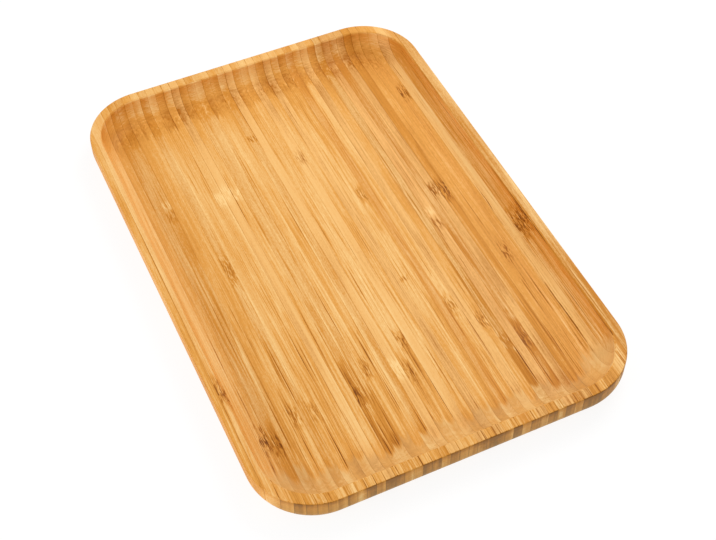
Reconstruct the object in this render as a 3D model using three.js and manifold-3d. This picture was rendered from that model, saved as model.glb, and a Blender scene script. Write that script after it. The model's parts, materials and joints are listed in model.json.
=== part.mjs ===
// Bamboo serving tray.
// A board of bamboo strips standing on edge and glued side by side, trimmed to a rounded rectangle,
// with its lower edge rounded under like a bowl and a shallow well routed into its top.
// Every strip runs the whole length of the tray, so each one carries its own share of both end walls,
// of the coves and of the floor. Millimetres, +Z up, length along Y, origin under the middle.

import * as THREE from 'three';
import { mergeVertices } from 'three/addons/utils/BufferGeometryUtils.js';
import Module from 'manifold-3d';

// Outer form
const TRAY_LENGTH = 330;
const TRAY_WIDTH = 225;
const TRAY_HEIGHT = 18;
const CORNER_RADIUS = 38;
const FOOT_RADIUS = 10;
const RIM_OUTER_EASE = 1;

// Well
const RIM_WIDTH = 7.3;
const RIM_INNER_EASE = 1.5;
const COVE_RADIUS = 13;
const FLOOR_THICKNESS = 5;

// Strips of the glued board. Trimming leaves the two outer strips with thicknesses of their own.
const STRIP_THICKNESS = 5.36;
const LEFT_EDGE_STRIP = 3.96;
const RIGHT_EDGE_STRIP = 6.64;

// Smoothness of the rounded surfaces, in straight steps for each arc
const CORNER_STEPS = 12;
const FOOT_STEPS = 6;
const COVE_STEPS = 8;
const EASE_STEPS = 2;

// The cutting forms reach this far past the faces that they open, so that no face is shared
const CUT_ALLOWANCE = 4;
// The tightest corner that the well's cutter leaves
const LEAST_CORNER_RADIUS = 1.5;

const QUARTER_TURN = Math.PI / 2;

const BAMBOO_ROUGHNESS = 0.45;

// Natural bamboo runs from straw to toffee, and a glued board mixes the tones as they come
const TONES = {
  straw: 0xe6b873,
  honey: 0xdba256,
  amber: 0xcf9146,
  toffee: 0xb9793a,
};
const TONE_ORDER = [
  'honey', 'honey', 'honey', 'honey', 'amber', 'amber', 'honey',
  'honey', 'amber', 'honey', 'honey', 'honey', 'straw', 'honey',
  'amber', 'amber', 'honey', 'honey', 'amber', 'straw', 'honey',
  'honey', 'straw', 'honey', 'straw', 'honey', 'honey', 'amber',
  'honey', 'straw', 'honey', 'toffee', 'straw', 'toffee', 'straw',
  'amber', 'honey', 'honey', 'honey', 'straw', 'amber', 'toffee',
];

const wasm = await Module();
wasm.setup();

// Points of an arc in the plane of the wall's section: inset from the outer wall, and height
function arc(insetCentre, heightCentre, radius, startAngle, endAngle, steps) {
  const clockwise = endAngle < startAngle;
  const curve = new THREE.EllipseCurve(
    insetCentre, heightCentre, radius, radius, startAngle, endAngle, clockwise);
  return curve.getPoints(steps);
}

// One rounded-rectangle outline, inset evenly from the tray's outer wall
function outlineAt(inset) {
  const halfWidth = TRAY_WIDTH / 2 - inset;
  const halfLength = TRAY_LENGTH / 2 - inset;
  const radius = Math.max(CORNER_RADIUS - inset, LEAST_CORNER_RADIUS);
  const corners = [
    [halfWidth - radius, halfLength - radius],
    [radius - halfWidth, halfLength - radius],
    [radius - halfWidth, radius - halfLength],
    [halfWidth - radius, radius - halfLength],
  ];
  return corners.flatMap(([x, y], corner) => {
    const start = corner * QUARTER_TURN;
    return arc(x, y, radius, start, start + QUARTER_TURN, CORNER_STEPS);
  });
}

// Closed solid lofted through outlines, following a section from its lowest point to its highest
function loft(section) {
  const rings = section.map((point) => outlineAt(point.x));
  const ringSize = rings[0].length;
  const positions = rings.flatMap((ring, level) =>
    ring.flatMap((point) => [point.x, point.y, section[level].y]));
  const faces = [];
  for (let level = 0; level + 1 < rings.length; level += 1) {
    for (let i = 0; i < ringSize; i += 1) {
      const here = level * ringSize + i;
      const next = level * ringSize + (i + 1) % ringSize;
      faces.push(here, next, next + ringSize, here, next + ringSize, here + ringSize);
    }
  }
  const top = (rings.length - 1) * ringSize;
  for (const [a, b, c] of THREE.ShapeUtils.triangulateShape(rings[0], [])) {
    faces.push(a, c, b);
  }
  for (const [a, b, c] of THREE.ShapeUtils.triangulateShape(rings.at(-1), [])) {
    faces.push(top + a, top + b, top + c);
  }
  const geometry = new THREE.BufferGeometry();
  geometry.setAttribute('position', new THREE.Float32BufferAttribute(positions, 3));
  geometry.setIndex(faces);
  return geometry;
}

function toSolid(geometry) {
  geometry.deleteAttribute('normal');
  geometry.deleteAttribute('uv');
  const merged = mergeVertices(geometry);
  return new wasm.Manifold(new wasm.Mesh({
    numProp: 3,
    vertProperties: new Float32Array(merged.attributes.position.array),
    triVerts: new Uint32Array(merged.index.array),
  }));
}

function toGeometry(solid) {
  const mesh = solid.getMesh();
  const geometry = new THREE.BufferGeometry();
  geometry.setAttribute('position', new THREE.BufferAttribute(mesh.vertProperties, 3));
  geometry.setIndex(new THREE.BufferAttribute(mesh.triVerts, 1));
  geometry.computeVertexNormals();
  return geometry;
}

// Flat underside, rounded foot, upright wall and eased edge of the rim
function outerForm() {
  const foot = arc(FOOT_RADIUS, FOOT_RADIUS, FOOT_RADIUS, -QUARTER_TURN, -2 * QUARTER_TURN, FOOT_STEPS);
  const rimEdge = arc(RIM_OUTER_EASE, TRAY_HEIGHT - RIM_OUTER_EASE, RIM_OUTER_EASE,
    2 * QUARTER_TURN, QUARTER_TURN, EASE_STEPS);
  return toSolid(loft([...foot, ...rimEdge]));
}

// Flat floor, cove rising to the rim, and the eased edge where the cove meets the rim.
// A well that is shallower than the cove's radius stops the cove before it stands upright.
function wellForm() {
  const lipInset = RIM_WIDTH - RIM_INNER_EASE;
  const lipHeight = TRAY_HEIGHT - RIM_INNER_EASE;
  const coveRise = lipHeight - FLOOR_THICKNESS;
  const sweep = Math.acos(Math.max(0, 1 - coveRise / COVE_RADIUS));
  const floorInset = RIM_WIDTH + COVE_RADIUS * Math.sin(sweep);
  const cove = arc(floorInset, FLOOR_THICKNESS + COVE_RADIUS, COVE_RADIUS,
    -QUARTER_TURN, -QUARTER_TURN - sweep, COVE_STEPS);
  const lip = arc(lipInset, lipHeight, RIM_INNER_EASE, 0, QUARTER_TURN, EASE_STEPS);
  const mouth = new THREE.Vector2(lipInset, TRAY_HEIGHT + CUT_ALLOWANCE);
  return toSolid(loft([...cove, ...lip, mouth]));
}

// Seams between the strips, from the left side to the right. Between the two outer strips goes the whole
// number of strips that comes nearest to the wanted thickness, planed to share the width evenly.
function seamPlaces() {
  const side = TRAY_WIDTH / 2;
  const innerWidth = TRAY_WIDTH - LEFT_EDGE_STRIP - RIGHT_EDGE_STRIP;
  const innerStrips = Math.round(innerWidth / STRIP_THICKNESS);
  const seams = [-side];
  for (let i = 0; i <= innerStrips; i += 1) {
    seams.push(LEFT_EDGE_STRIP - side + innerWidth * i / innerStrips);
  }
  seams.push(side);
  return seams;
}

// Strips are counted from each side towards the middle, so number 01 is always the outermost one
function stripName(index, stripCount) {
  const onLeft = index < stripCount / 2;
  const number = onLeft ? index + 1 : stripCount - index;
  return `${onLeft ? 'left' : 'right'}_strip_${String(number).padStart(2, '0')}`;
}

// The sawn blank of one strip, standing on edge between two seams and open at the board's sides
function stripBlank(left, right) {
  const length = TRAY_LENGTH + 2 * CUT_ALLOWANCE;
  const height = TRAY_HEIGHT + 2 * CUT_ALLOWANCE;
  const blank = new THREE.BoxGeometry(right - left, length, height);
  blank.translate((left + right) / 2, 0, TRAY_HEIGHT / 2);
  return toSolid(blank);
}

function bambooFinish(tone) {
  return new THREE.MeshStandardMaterial({
    color: TONES[tone],
    roughness: BAMBOO_ROUGHNESS,
    metalness: 0,
  });
}

const tray = new THREE.Group();
const board = outerForm().subtract(wellForm());
const seams = seamPlaces();
const stripCount = seams.length - 1;
for (let i = 0; i < stripCount; i += 1) {
  const left = i === 0 ? seams[i] - CUT_ALLOWANCE : seams[i];
  const right = i + 1 === stripCount ? seams[i + 1] + CUT_ALLOWANCE : seams[i + 1];
  const strip = board.intersect(stripBlank(left, right));
  const mesh = new THREE.Mesh(toGeometry(strip), bambooFinish(TONE_ORDER[i % TONE_ORDER.length]));
  mesh.name = stripName(i, stripCount);
  tray.add(mesh);
}

export default tray;
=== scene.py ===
"""Bamboo serving tray: the looks of its glued strips and the stage that it stands on.

The tray is routed from one board of bamboo strips that stand on edge. Every strip is made from the same
rule, a wall section swept round the tray's outline and sawn out between two glue seams, and then gets the
grain, knuckles and stains of its own piece of culm.
"""

import json
import math
import random
from typing import NamedTuple

import bpy
from bpy.props import FloatProperty, FloatVectorProperty, IntProperty, PointerProperty
from mathutils import Matrix, Vector


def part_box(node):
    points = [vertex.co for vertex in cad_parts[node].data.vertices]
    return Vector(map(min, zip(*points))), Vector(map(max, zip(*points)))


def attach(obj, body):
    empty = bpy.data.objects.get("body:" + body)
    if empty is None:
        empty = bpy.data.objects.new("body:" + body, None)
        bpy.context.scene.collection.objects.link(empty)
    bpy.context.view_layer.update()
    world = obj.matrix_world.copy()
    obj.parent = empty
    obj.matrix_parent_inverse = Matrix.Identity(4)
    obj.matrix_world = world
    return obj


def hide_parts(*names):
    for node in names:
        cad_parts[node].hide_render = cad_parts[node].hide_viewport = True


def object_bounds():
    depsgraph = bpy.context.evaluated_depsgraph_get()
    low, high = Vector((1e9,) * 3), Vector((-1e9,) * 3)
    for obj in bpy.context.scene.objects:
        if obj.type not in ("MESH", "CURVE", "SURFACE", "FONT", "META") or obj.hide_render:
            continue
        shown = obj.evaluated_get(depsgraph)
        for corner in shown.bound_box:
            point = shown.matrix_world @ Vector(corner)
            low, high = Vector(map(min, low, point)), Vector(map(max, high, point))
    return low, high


bl_info = {
    "name": "Bamboo serving tray",
    "version": (1, 0, 0),
    "blender": (4, 5, 0),
    "location": "3D View > Sidebar > Tray",
    "description": "Makes the strips of a glued bamboo tray and the stage that it stands on",
    "category": "Object",
}

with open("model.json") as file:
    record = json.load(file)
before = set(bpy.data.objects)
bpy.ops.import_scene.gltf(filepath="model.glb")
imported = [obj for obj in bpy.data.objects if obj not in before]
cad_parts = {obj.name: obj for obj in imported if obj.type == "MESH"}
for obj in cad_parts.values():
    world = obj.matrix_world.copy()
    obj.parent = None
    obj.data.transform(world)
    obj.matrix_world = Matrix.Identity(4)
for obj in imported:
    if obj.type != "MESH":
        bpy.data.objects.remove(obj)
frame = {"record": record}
CAD_LOW, CAD_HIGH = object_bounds()
CAD_SIZE = CAD_HIGH - CAD_LOW
MM = 0.001


def well_floor_height():
    """Height of the well's floor, from the face that things are set down on."""
    floors = [mount for mount in frame["record"]["mounts"] if mount["name"] == "well_floor"]
    return floors[0]["pos_m"][2]


def linear(hex_colour):
    """Turn an sRGB hex colour into the linear colour, with alpha, that a shader socket takes."""
    channels = [int(hex_colour[i:i + 2], 16) / 255 for i in (1, 3, 5)]
    return [c / 12.92 if c <= 0.04045 else ((c + 0.055) / 1.055) ** 2.4 for c in channels] + [1.0]


class Strip(NamedTuple):
    """What sets one strip's bamboo apart. Places are in millimetres, and the near end's are below 0."""

    shade: float = 0.0      # darker above 0, paler below
    warmth: float = 0.0     # share of reddish cast
    fibre: float = 1.0      # how strongly its fibres show
    knuckles: tuple = ()    # (place, reach, depth): joints of the culm, pale where the depth is below 0
    stains: tuple = ()      # (from, to, depth, side, fade): side 0 is all over, 1 the right part, and 4
                            # a thin line at the right edge


# The strips as they lie in the tray. A strip that isn't named here is plain.
STRIPS = {
    "left_strip_01": Strip(shade=0.03, stains=((-150, 60, 0.5, 4, 30),)),
    "left_strip_02": Strip(shade=-0.1, warmth=0.1, knuckles=((-77, 14, 1.0),)),
    "left_strip_03": Strip(shade=-0.1, warmth=0.1),
    "left_strip_04": Strip(shade=0.01, knuckles=((-109, 13, 1.0),),
                           stains=((-140, -98, 0.25, 0, 14), (-98, -50, 0.1, 0, 20))),
    "left_strip_05": Strip(shade=-0.03, knuckles=((-114, 13, 0.7),),
                           stains=((-142, -92, 0.3, 1, 12), (-90, 50, 0.3, 4, 30))),
    "left_strip_06": Strip(shade=-0.04, knuckles=((73, 7, -0.3), (64, 8, 0.45)),
                           stains=((-155, -60, 0.06, 0, 40),)),
    "left_strip_07": Strip(shade=0.01, stains=((-155, -60, 0.06, 0, 40),)),
    "left_strip_08": Strip(shade=-0.03, knuckles=((-101, 12, 0.6),), stains=((-95, -15, 0.4, 4, 20),)),
    "left_strip_09": Strip(shade=-0.08, knuckles=((10, 19, 0.5),),
                           stains=((-150, -20, 0.1, 0, 60), (30, 120, -0.08, 0, 30))),
    "left_strip_10": Strip(shade=-0.08, knuckles=((-102, 11, 0.4),),
                           stains=((-150, -60, 0.16, 0, 40), (-140, -96, 0.35, 4, 14))),
    "left_strip_11": Strip(shade=-0.07, stains=((-155, -30, 0.18, 0, 60),)),
    "left_strip_12": Strip(shade=-0.08, knuckles=((65, 9, -0.4),), stains=((-150, -30, 0.18, 0, 50),)),
    "left_strip_13": Strip(fibre=0.5, knuckles=((68, 12, -0.4),), stains=((90, 150, 0.16, 0, 30),)),
    "left_strip_14": Strip(shade=-0.05, knuckles=((65, 9, -0.35),), stains=((-155, -80, 0.06, 0, 40),)),
    "left_strip_15": Strip(shade=-0.06, knuckles=((-104, 14, 0.6),),
                           stains=((-155, -74, 0.34, 0, 18), (-155, -112, 0.2, 0, 10))),
    "left_strip_16": Strip(shade=-0.12,
                           stains=((-155, -92, 0.3, 0, 14), (-155, -50, 0.12, 0, 20),
                                   (-145, -98, 0.3, 1, 8))),
    "left_strip_17": Strip(shade=-0.1, knuckles=((-89, 12, 0.55),), stains=((-155, -40, 0.06, 0, 40),)),
    "left_strip_18": Strip(shade=-0.03, stains=((-84, -62, 0.25, 1, 10), (-155, -40, 0.18, 0, 40))),
    "left_strip_19": Strip(shade=-0.08, knuckles=((106, 4, 0.6),), stains=((-150, -110, 0.1, 0, 20),)),
    "left_strip_20": Strip(shade=-0.02, fibre=0.7, knuckles=((-95, 12, -0.7),)),
    "left_strip_21": Strip(shade=-0.08, knuckles=((-101, 12, 0.6),),
                           stains=((-155, -70, 0.18, 0, 20), (-155, -80, 0.16, 0, 30),
                                   (-60, 30, 0.1, 0, 20))),
    "right_strip_21": Strip(shade=-0.11, knuckles=((-78, 12, 0.6),),
                            stains=((-110, -66, 0.16, 0, 14), (-155, -80, 0.12, 0, 20))),
    "right_strip_20": Strip(shade=-0.03, fibre=0.6, knuckles=((77, 11, 0.4),),
                            stains=((90, 150, 0.2, 0, 30),)),
    "right_strip_19": Strip(shade=-0.05, stains=((-120, -60, 0.08, 0, 20),)),
    "right_strip_18": Strip(shade=0.06, stains=((-155, -70, 0.06, 0, 30),)),
    "right_strip_17": Strip(shade=-0.11, knuckles=((-40, 3, 0.5),), stains=((90, 150, 0.18, 0, 30),)),
    "right_strip_16": Strip(shade=-0.03, fibre=1.3, knuckles=((32, 13, 0.5),),
                            stains=((-125, -5, 0.2, 1, 20), (40, 150, 0.14, 0, 30))),
    "right_strip_15": Strip(shade=-0.02, warmth=0.1),
    "right_strip_14": Strip(shade=-0.09, knuckles=((-68, 12, 0.6),), stains=((-155, -40, 0.08, 0, 40),)),
    "right_strip_13": Strip(shade=0.1, stains=((90, 150, 0.08, 0, 30),)),
    "right_strip_12": Strip(knuckles=((-86, 12, 0.6),), stains=((-120, -60, 0.06, 0, 20),)),
    "right_strip_11": Strip(shade=-0.1, knuckles=((-105, 9, 0.5),),
                            stains=((-155, -108, 0.4, 0, 6), (-155, 60, 0.12, 0, 40))),
    "right_strip_10": Strip(shade=0.1, warmth=0.1, knuckles=((1, 7, -0.5), (-9, 8, 0.5)),
                            stains=((-155, -110, 0.1, 0, 20),)),
    "right_strip_09": Strip(shade=-0.05, warmth=0.1, knuckles=((-106, 14, 0.8),),
                            stains=((-155, -85, 0.48, 0, 12),)),
    "right_strip_08": Strip(shade=0.15, knuckles=((17, 11, 0.6),),
                            stains=((-115, -70, -0.14, 0, 12), (90, 150, 0.08, 0, 20))),
    "right_strip_07": Strip(shade=0.07, knuckles=((14, 13, 1.0),),
                            stains=((14, 62, 0.2, 1, 14), (-155, -80, 0.08, 0, 30))),
    "right_strip_06": Strip(shade=0.03, stains=((100, 150, 0.16, 0, 20),)),
    "right_strip_05": Strip(shade=0.05, knuckles=((-46, 12, 0.6),),
                            stains=((-155, -50, 0.08, 0, 40), (-155, -105, 0.12, 0, 12))),
    "right_strip_04": Strip(shade=0.03, knuckles=((103, 12, 0.8),),
                            stains=((-155, -20, 0.08, 0, 40), (-155, -105, 0.06, 0, 12),
                                    (-110, -70, 0.1, 0, 12))),
    "right_strip_03": Strip(fibre=1.4, stains=((-155, -100, 0.12, 0, 12),)),
    "right_strip_02": Strip(shade=0.05, warmth=0.05, fibre=2.2, knuckles=((-34, 18, 1.0),),
                            stains=((-145, 20, 0.4, 4, 20),)),
    "right_strip_01": Strip(shade=-0.08, fibre=0.5),
}
PLAIN_SHADE = 0.125                                 # what the shades above are counted from
PLAIN_KNUCKLE = (1000.0, 1.0, 0.0)                  # past the end of every strip
PLAIN_STAIN = (1000.0, 1000.0, 0.0, 0.0, 1.0)
MARKS_PER_STRIP = 3                                 # one for each part of the vectors that hold them


def span(name, default, description, **limits):
    """Property that holds a length, in metres."""
    return FloatProperty(name=name, description=description, default=default, subtype="DISTANCE",
                         unit="LENGTH", **limits)


def turn(name, degrees, description):
    """Property that holds an angle, given in degrees."""
    return FloatProperty(name=name, description=description, default=math.radians(degrees), subtype="ANGLE",
                         unit="ROTATION")


def tone(name, hex_colour, description):
    """Property that holds a colour."""
    return FloatVectorProperty(name=name, description=description, default=linear(hex_colour), size=4,
                               subtype="COLOR", min=0, max=1)


class TraySizes(bpy.types.PropertyGroup):
    """Sizes of the tray's outline and of the section of its wall."""

    length: span("Length", CAD_SIZE.y, "Length of the tray, along the strips", min=100 * MM)
    width: span("Width", CAD_SIZE.x, "Width of the tray, across the strips", min=100 * MM)
    height: span("Height", CAD_SIZE.z, "Height of the rim above the underside", min=5 * MM)
    corner_radius: span("Corner radius", 38 * MM, "Radius of the outline's corners", min=1 * MM)
    foot_radius: span("Foot radius", 10 * MM, "Radius at which the wall rounds under to the underside",
                      min=1 * MM)
    rim_ease: span("Rim ease", 1 * MM, "Radius of the rim's outer edge", min=0.1 * MM)
    rim_width: span("Rim width", 7.3 * MM, "Width of the rim, from the outer wall to the well", min=2 * MM)
    lip_ease: span("Lip ease", 1.5 * MM, "Radius of the edge between the rim and the well", min=0.1 * MM)
    cove_radius: span("Cove radius", 13 * MM, "Radius of the hollow between the rim and the well's floor",
                      min=1 * MM)
    floor_thickness: span("Floor thickness", well_floor_height(), "Thickness of the board under the well",
                          min=1 * MM)
    corner_steps: IntProperty(
        name="Corner steps", description="Straight steps round each of the outline's corners", default=32,
        min=4)
    cove_steps: IntProperty(
        name="Cove steps", description="Points along the cove and along the foot", default=32, min=4)
    ease_steps: IntProperty(
        name="Ease steps", description="Points along each eased edge", default=8, min=3)


class BambooTones(bpy.types.PropertyGroup):
    """Colours of the bamboo, from the palest pith to the darkest knuckle."""

    straw: tone("Straw", "#F3B96C", "Body colour of the palest strips")
    honey: tone("Honey", "#E6A149", "Body colour of the common strips")
    amber: tone("Amber", "#DC9439", "Body colour of the darker strips")
    toffee: tone("Toffee", "#CE862A", "Body colour of the darkest strips")
    pith: tone("Pith", "#FFD48E", "Pale soft tissue between the fibres")
    fibre: tone("Fibre", "#B46C16", "Bundles of brown fibres")
    knuckle: tone("Knuckle", "#7A4000", "Darkest fibres, at the joints of the culm")
    blush: tone("Blush", "#E69652", "Reddish cast of some strips")
    # Sawn is only mixed in as grey painted on the end walls, a reflection of the white floor
    sawn: tone("Sawn", "#A88C50", "Greyed brown of the sawn end walls")
    # Cut is mixed in at the near end as a pale tan of cut fibres, partly their own dull tone and partly
    # painted sheen
    cut: tone("Cut", "#DAAC6C", "Dull tan of fibres that are cut across")


class TrayStage(bpy.types.PropertyGroup):
    """The camera, at the photo's viewing angle, and the lights."""

    azimuth: turn("Azimuth", -24.774, "Turn of the camera round the tray, from its near end")
    elevation: turn("Elevation", 50.594, "Angle of the camera above the table")
    roll: turn("Roll", -0.233, "Tilt of the camera about its own axis")
    distance: span("Distance", 822.135 * MM, "Distance of the camera from the tray's middle")
    slide_right: span("Slide right", 10.071 * MM, "Slide of the camera to its right")
    slide_up: span("Slide up", -12.039 * MM, "Slide of the camera along its upward axis")
    lens: FloatProperty(
        name="Lens", description="Focal length, in millimetres on a 36 mm sensor", default=68.536)
    key_power: FloatProperty(
        name="Key power", description="Power of the soft light behind the tray's right side, in watts",
        default=5.1, subtype="POWER")
    fill_power: FloatProperty(
        name="Fill power", description="Power of the soft light on the tray's left side, in watts",
        default=3.5, subtype="POWER")
    sky: FloatProperty(
        name="Sky", description="Strength of the even light from all round", default=0.60)


def add(tree, kind, feeds=None, **settings):
    """Add one node with its settings, and feed its sockets from nodes, sockets or plain values."""
    node = tree.nodes.new(kind)
    for name, value in settings.items():
        setattr(node, name, value)
    sockets = [socket for socket in node.inputs if socket.enabled]
    named = {socket.name: socket for socket in reversed(sockets)}
    for key, feed in (feeds or {}).items():
        socket = sockets[key] if isinstance(key, int) else named[key]
        if isinstance(feed, bpy.types.Node):
            feed = next(output for output in feed.outputs if output.enabled)
        if isinstance(feed, bpy.types.NodeSocket):
            tree.links.new(feed, socket)
        else:
            socket.default_value = feed
    return node


# Bamboo

# Sizes of the grain, in millimetres: across the strip, along it, and up its height. Real fibre bundles are
# about 0.4 mm wide. They are drawn somewhat coarser than that, so that they show at the render's scale.
GRAIN_DRIFT = (40.0, 80.0, 40.0)
GRAIN_BROAD = (2.4, 90.0, 30.0)
GRAIN_BUNDLE = (1.05, 70.0, 0.5)
GRAIN_FINE = (0.7, 45.0, 0.4)
GRAIN_WANDER = (6.0, 45.0, 6.0)
GRAIN_CURL = (5.0, 13.0, 5.0)
GRAIN_STROKE = (0.7, 5.0, 0.6)
GRAIN_RAGGED = (1.8, 14.0, 4.0)
GRAIN_RIPPLE = (4.0, 40.0, 0.5)
GRAIN_PORE = (0.5, 1.6, 0.5)
GRAIN_TORN = (1.5, 2.4, 1.5)
SMOOTH, ROUGH = 1.0, 2.0    # detail of the grain
MIDDLING = 0.5              # what the grain swings about

# Where things begin and end, in millimetres along the tray
ENDS_REACH = 140.0          # the near end's look gives way to the far end's between minus this and this
FLAME_START, FLAME_FULL = 110.0, 132.0      # the far end's browning comes in

# The same, outwards from the middles of the outline's corners
TONGUE_START, TONGUE_END = 13.0, 18.0       # fibres run out towards an end
RUN_OUT_START, RUN_OUT_END = 16.0, 25.0     # the well's floor rises across the fibres
FRINGE_START, FRINGE_FULL = 3.0, 15.0       # the cove's darker foot comes in
TORN_MIDDLE, TORN_REACH = 16.0, 13.0        # band that the cutter tore at the far end, and half its width
WALL_START, WALL_FULL = 32.0, 36.0          # the rim gives way to the outer wall

# The same, below the rim
LAND_START, LAND_END = 0.1, 1.0             # the rim's level land ends
ARRIS_TOP, ARRIS_END = 1.0, 4.0             # the wall's darker upper edge ends
FLOOR_SHEEN_LEAST = 2.0                            # the grey painted on the wall as the white floor's reflection is faintest

# The same, above the underside
FOOT_START, FOOT_END = 3.0, 2.0             # the rounded foot gives way to the flat underside
FLOOR_SHEEN_FULL = 3.0                            # the grey painted on the wall as the white floor's reflection is strongest

# How far things reach, in millimetres
WANDER_REACH = 0.5          # how far a fibre wanders sideways
CURL_REACH = 3.0            # how far it curls at a knuckle
KNUCKLE_RAGGED = 10.0       # how unevenly knuckles begin across a strip
STAIN_RAGGED = 34.0         # how unevenly stains begin
TONGUE_RAGGED, FLAME_RAGGED = 4.0, 24.0     # how unevenly fibres run out, at the near and at the far end
FLAME_LEAD = 3.0            # how much sooner they do so at the far end
TONGUE_REACH = 3.0          # how much sooner at a strip's edges
DIVE_SPREAD = 5.0           # how much sooner or later in one strip than in another
UNDERSIDE_LAG = 12.0        # how much later on the flat underside
RUN_OUT_RISE = 1.6          # how much of the culm's height shows where the well's floor rises
SIDE_MARGIN = 1.0           # how near to the tray's side no seam shows
FIBRE_RELIEF = 0.02 * MM    # height of the raised grain, in metres

# How the surface cuts the fibres
CORNER_GAIN = 2.5           # how much more squarely the cove cuts them in its corners than the wall does
STEEP_START, STEEP_FULL = 0.4, 0.75         # lengthwise part of a wall's normal

# How strongly the fibres show
BUNDLE_EDGE, BUNDLE_CORE = 0.46, 0.14       # distances in a bundle's cell at which it begins and is full
FAINT_BUNDLES = 1.6         # power that leaves few bundles strong and many faint
SKIN_DENSITY, MEAN_DENSITY = 0.4, 0.8       # how much denser towards the culm's skin, and on the whole
BUNDLE_DEPTH = 0.38
FINE_DEPTH, FINE_OFFSET = 0.32, -0.208      # fine streaks, and what keeps the body's tone under them
CURLED_GAIN = 0.9           # how much more strongly the fibres show in a knuckle
STAINED_GAIN = 3.0          # how much more strongly in a stain
SHARP_NEAR, SHARP_FAR = 1.3, 0.65           # how strongly at the two ends
BARED_NEAR, BARED_FAR = 0.7, -0.4           # what the rim's level land adds to that
KEPT_NEAR, KEPT_FAR = 0.45, 0.8             # what is left of it where they are cut across

# How much each thing darkens the bamboo, on the way from pale pith at 0 to a knuckle's brown at 1
DRIFT_DEPTH = 0.24
BROAD_NEAR, BROAD_FAR = 0.52, 0.17
STROKE_DEPTH = 0.14
PORE_DEPTH = 0.22
# painted shade: darker towards the near end, as the light falls off
NEAR_FALLOFF_SHADE = 0.03
SKIN_DEPTH = 0.03
# painted shade and light on the rim's land: darker at the near end, paler at the far end, as the light falls
# off
RIM_FALLOFF_NEAR, RIM_FALLOFF_FAR = 0.08, -0.08
FAR_DEPTH = 0.06
STAIN_WIDTH = 1.4           # how far a stain on one side of a strip reaches across it
SOAK_PALE, SOAK_DARK = -0.12, 0.18          # streaks that take up the least and the most of a stain
SOAK_LEAST, SOAK_MOST = 0.6, 1.2            # how much these take up
SOAK_CUT = 0.3              # how much cut fibres take up
SPECK_PALE, SPECK_DARK = 0.42, 0.58         # strokes that a knuckle darkens the least and the most
SPECK_LEAST, SPECK_MOST = 0.06, 0.68        # how much it darkens these
HAZE_TONE, HAZE_BROWN = 0.30, 0.34          # cut fibres, and what the far end's browning adds
HAZE_SHARE, HAZE_FAR = 0.3, 0.25            # how much of the grain they cover, and more at the far end
FRINGE_DEPTH = 0.09
RIPPLE_DEPTH = 0.4
TORN_DEPTH = 0.5
GLUE_LINE = 0.05            # share of a strip's thickness that a seam darkens
SEAM_HIDDEN, SEAM_SHOWN = 0.38, 0.6         # grain between which a seam comes and goes
SEAM_FAINTEST, SEAM_BOLDEST = 0.05, 0.5
SEAM_ON_WALL = 0.4          # what the outer walls add to a seam
END_PALEST, END_DARKEST = -0.26, 0.12       # tones that single strips have where they are cut across
END_CALM = -0.4             # how much less they differ at the far end
FAR_CUT_LIGHT = -0.05             # painted light: how much paler they all are there, where the far cove faces away from the key
END_SKIN = 0.06
END_SHARE = 0.9             # how much of its tone a strip shows in the cove
WALL_TONE = 0.71
WALL_CONTRAST = 0.85        # how much more the strips differ on the outer walls
WALL_BROAD = 0.5
WALL_LOW, WALL_ARRIS = -0.36, -0.12         # what the wall's lower part and its upper edge add

# Colour and gloss
BODY_STOP, FIBRE_STOP = 0.32, 0.7           # darkness of a strip's body colour and of its fibres
TAN_CORNER, TAN_END = 0.65, 0.4             # pale tan of the near end's cut fibres, in its corners and between: partly their own dull tone, partly painted sheen
TAN_SLANT = 0.3             # how squarely the fibres are cut where the corners' share is reached
TAN_WALL = 0.4              # what is left of the tan on the outer walls
FLOOR_SHEEN_LOW, FLOOR_SHEEN_HIGH = 0.55, 0.15            # share of grey painted on the outer end walls as a reflection of the white floor, low down and high up
GLOSS_PITH, GLOSS_FIBRE = 0.3, 0.7          # fine grain of the smoothest pith and of the roughest fibres
PITH_ROUGHNESS, FIBRE_ROUGHNESS = 0.42, 0.56
OILED_IOR = 1.5
OILED_SPECULAR = 0.12       # oil that has soaked in leaves little shine


class Spot(NamedTuple):
    """Nodes and sockets that say where on the tray, and on its strip, a spot of bamboo lies."""

    place: object       # in the tray, in millimetres
    culm: object        # in the culm that the strip was cut from
    along: object       # millimetres along the tray, the near end negative
    height: object      # millimetres above the underside
    lean: object        # -1 at the strip's left edge, 1 at its right edge
    outward: object     # millimetres outwards from the middles of the outline's corners
    endways: object     # how squarely the wall there cuts the fibres, 1 at the ends and 0 along the sides
    level: object       # 1 on the rim's level land, and 0 below it
    ragged: object      # swing that keeps anything from starting in a straight line across a strip
    far: object         # 1 at the far end


class Cut(NamedTuple):
    """Nodes that say how a spot's surface cuts the fibres."""

    ends: object        # 1 where the fibres have run out towards an end
    squarely: object    # how squarely the surface cuts them
    wall: object        # 1 on the outer walls
    steep: object       # 1 where the surface faces along the tray


class Fibres(NamedTuple):
    """Nodes of the fibres at a spot."""

    bent: object        # place in the culm, as the fibres wander and curl
    roaming: object     # slow grain that they wander by
    slope: object       # 1 at the edge that lay under the culm's skin, -1 at the other
    fine: object        # fine grain
    streak: object      # darkness of the bundles and the fine streaks
    stroke: object      # short strokes


def grain(tree, place, size, detail):
    """Noise stretched along the fibres, with the given size in millimetres."""
    stretched = add(tree, "ShaderNodeVectorMath", {0: place, 1: [1 / s for s in size]}, operation="MULTIPLY")
    return add(tree, "ShaderNodeTexNoise", {"Vector": stretched, "Scale": 1.0, "Detail": detail})


def swing(tree, place, size, detail):
    """The same noise, swinging about 0."""
    noise = grain(tree, place, size, detail)
    return add(tree, "ShaderNodeMath", {0: noise, 1: MIDDLING}, operation="SUBTRACT")


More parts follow.
